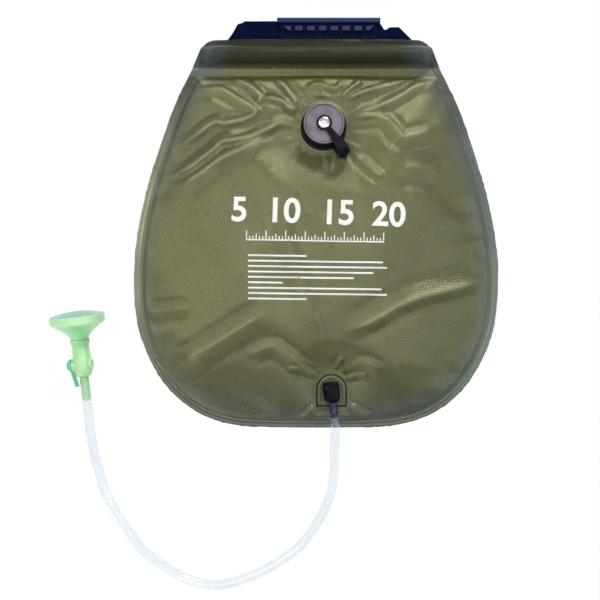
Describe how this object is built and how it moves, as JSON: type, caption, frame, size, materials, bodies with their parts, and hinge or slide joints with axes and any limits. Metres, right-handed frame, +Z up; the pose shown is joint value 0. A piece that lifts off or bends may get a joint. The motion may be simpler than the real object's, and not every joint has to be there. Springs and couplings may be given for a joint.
{
  "type": "camp shower bag",
  "caption": "Water bag of welded film lying on its back, with a screw-cap filler, a webbing handle with a moulded grip, and a clear hose to a hand shower with a lever tap",
  "frame": {"origin": "on the resting surface, under the middle of the bag's back film", "axes": "+X is to the bag's right, +Y is towards its carrying handle, +Z is up, away from the surface it lies on"},
  "size_m": [0.548, 0.7089, 0.0655],
  "materials": {
    "olive_film": "satin embossed film",
    "black_film": "satin",
    "white_tube": "plain",
    "navy_webbing": "woven",
    "navy_grip": "satin moulded",
    "black_plastic": "satin moulded",
    "black_rubber": "matt",
    "bright_metal": "bright",
    "clear_hose": "clear",
    "pale_green": "gloss moulded",
    "tap_green": "gloss moulded"
  },
  "bodies": {
    "bag": {"front_film": "olive_film", "back_film": "black_film", "hanging_tube": "white_tube", "filler_neck": "black_plastic", "neck_collar": "black_rubber", "cap_tether": "black_rubber", "outlet_flange": "olive_film", "outlet_washer": "black_rubber", "outlet_elbow": "black_plastic", "hose_cuff_outlet": "clear_hose", "hose": "clear_hose", "hose_cuff_handset": "clear_hose", "handset_body": "pale_green", "rose_bell": "pale_green", "rose_seal": "black_rubber", "spray_plate": "pale_green"},
    "handle": {"handle_strap": "navy_webbing"},
    "grip": {"handle_grip": "navy_grip", "grip_rail": "navy_grip"},
    "cap_hub": {"tether_bush": "bright_metal"},
    "cap": {"filler_cap": "black_plastic", "cap_gasket": "black_rubber", "tether_rivet": "bright_metal"},
    "tap": {"tap_plug": "tap_green", "tap_lever": "tap_green", "tap_seal_lever_side": "black_rubber", "tap_seal_screw_side": "black_rubber", "tap_retainer": "bright_metal"}
  },
  "joints": [
    {"name": "handle_swing", "type": "hinge", "parent": "bag", "child": "handle", "pos_m": [0.0015, 0.217, 0.0109], "axis": [1, 0, 0], "range_deg": [-90, 0]},
    {"name": "grip_slide", "type": "slide", "parent": "handle", "child": "grip", "axis": [1, 0, 0], "range_m": [-0.041, 0.013]},
    {"name": "cap_lift", "type": "slide", "parent": "bag", "child": "cap_hub", "axis": [0, 0, 1], "range_m": [0, 0.00801], "deforming": ["cap_tether"]},
    {"name": "cap_turn", "type": "hinge", "parent": "cap_hub", "child": "cap", "pos_m": [0.0088, 0.127, 0.03], "axis": [0, 0, 1], "range_deg": [0, 720]},
    {"name": "tap_turn", "type": "hinge", "parent": "bag", "child": "tap", "pos_m": [-0.28341, -0.16271, 0.02699], "axis": [-0.9962, -0.0872, 0], "range_deg": [0, 90]}
  ],
  "couplings": [
    {"joint": "cap_lift", "follows": "cap_turn", "m_per_rad": 0.00063662}
  ]
}
